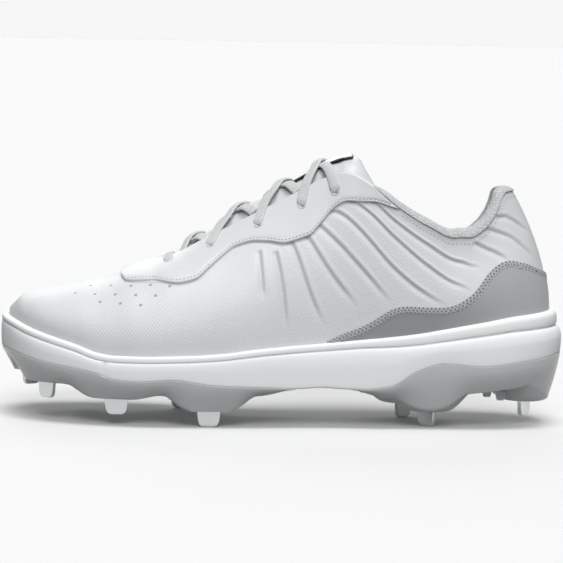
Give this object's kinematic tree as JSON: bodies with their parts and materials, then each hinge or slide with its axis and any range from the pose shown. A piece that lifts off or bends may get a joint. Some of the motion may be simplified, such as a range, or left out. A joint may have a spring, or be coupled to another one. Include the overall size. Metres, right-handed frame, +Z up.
{
  "type": "baseball cleat",
  "caption": "Low-cut laced baseball cleat for the left foot, with a white leather upper, a cupped foam midsole, moulded grey plates and flat metal studs.",
  "frame": {"origin": "centre of the bounding box in plan, on the floor that the studs stand on", "axes": "+X from heel to toe, +Y to the outer side of the left foot, +Z up"},
  "size_m": [0.2958, 0.1034, 0.1424],
  "materials": {
    "upper_leather": "matte grained, white",
    "eyestay_leather": "smooth, white",
    "heel_panel": "matte, grey",
    "collar_knit": "knitted, light grey",
    "tongue_leather": "padded, white",
    "badge": "matte, black",
    "lace": "woven flat, white",
    "insole": "napped, light grey",
    "midsole_foam": "satin, white",
    "plate": "satin, grey",
    "stud_steel": "polished"
  },
  "bodies": {
    "root": {"upper": "upper_leather", "eyestay": "eyestay_leather", "heel_panel": "heel_panel", "collar_lining": "collar_knit", "tongue": "tongue_leather", "tongue_badge": "badge", "lace": "lace", "insole": "insole", "midsole": "midsole_foam", "forefoot_plate": "plate", "heel_plate": "plate", "stud_toe_medial": "stud_steel", "stud_toe_lateral": "stud_steel", "stud_mid_medial": "stud_steel", "stud_mid_lateral": "stud_steel", "stud_ball_medial": "stud_steel", "stud_ball_lateral": "stud_steel", "stud_heel_medial": "stud_steel", "stud_heel_lateral": "stud_steel", "stud_heel_rear": "stud_steel", "lug_1": "plate", "lug_2": "plate", "lug_3": "plate", "lug_4": "plate", "lug_5": "plate", "lug_6": "plate", "lug_7": "plate", "lug_8": "plate"}
  },
  "joints": []
}
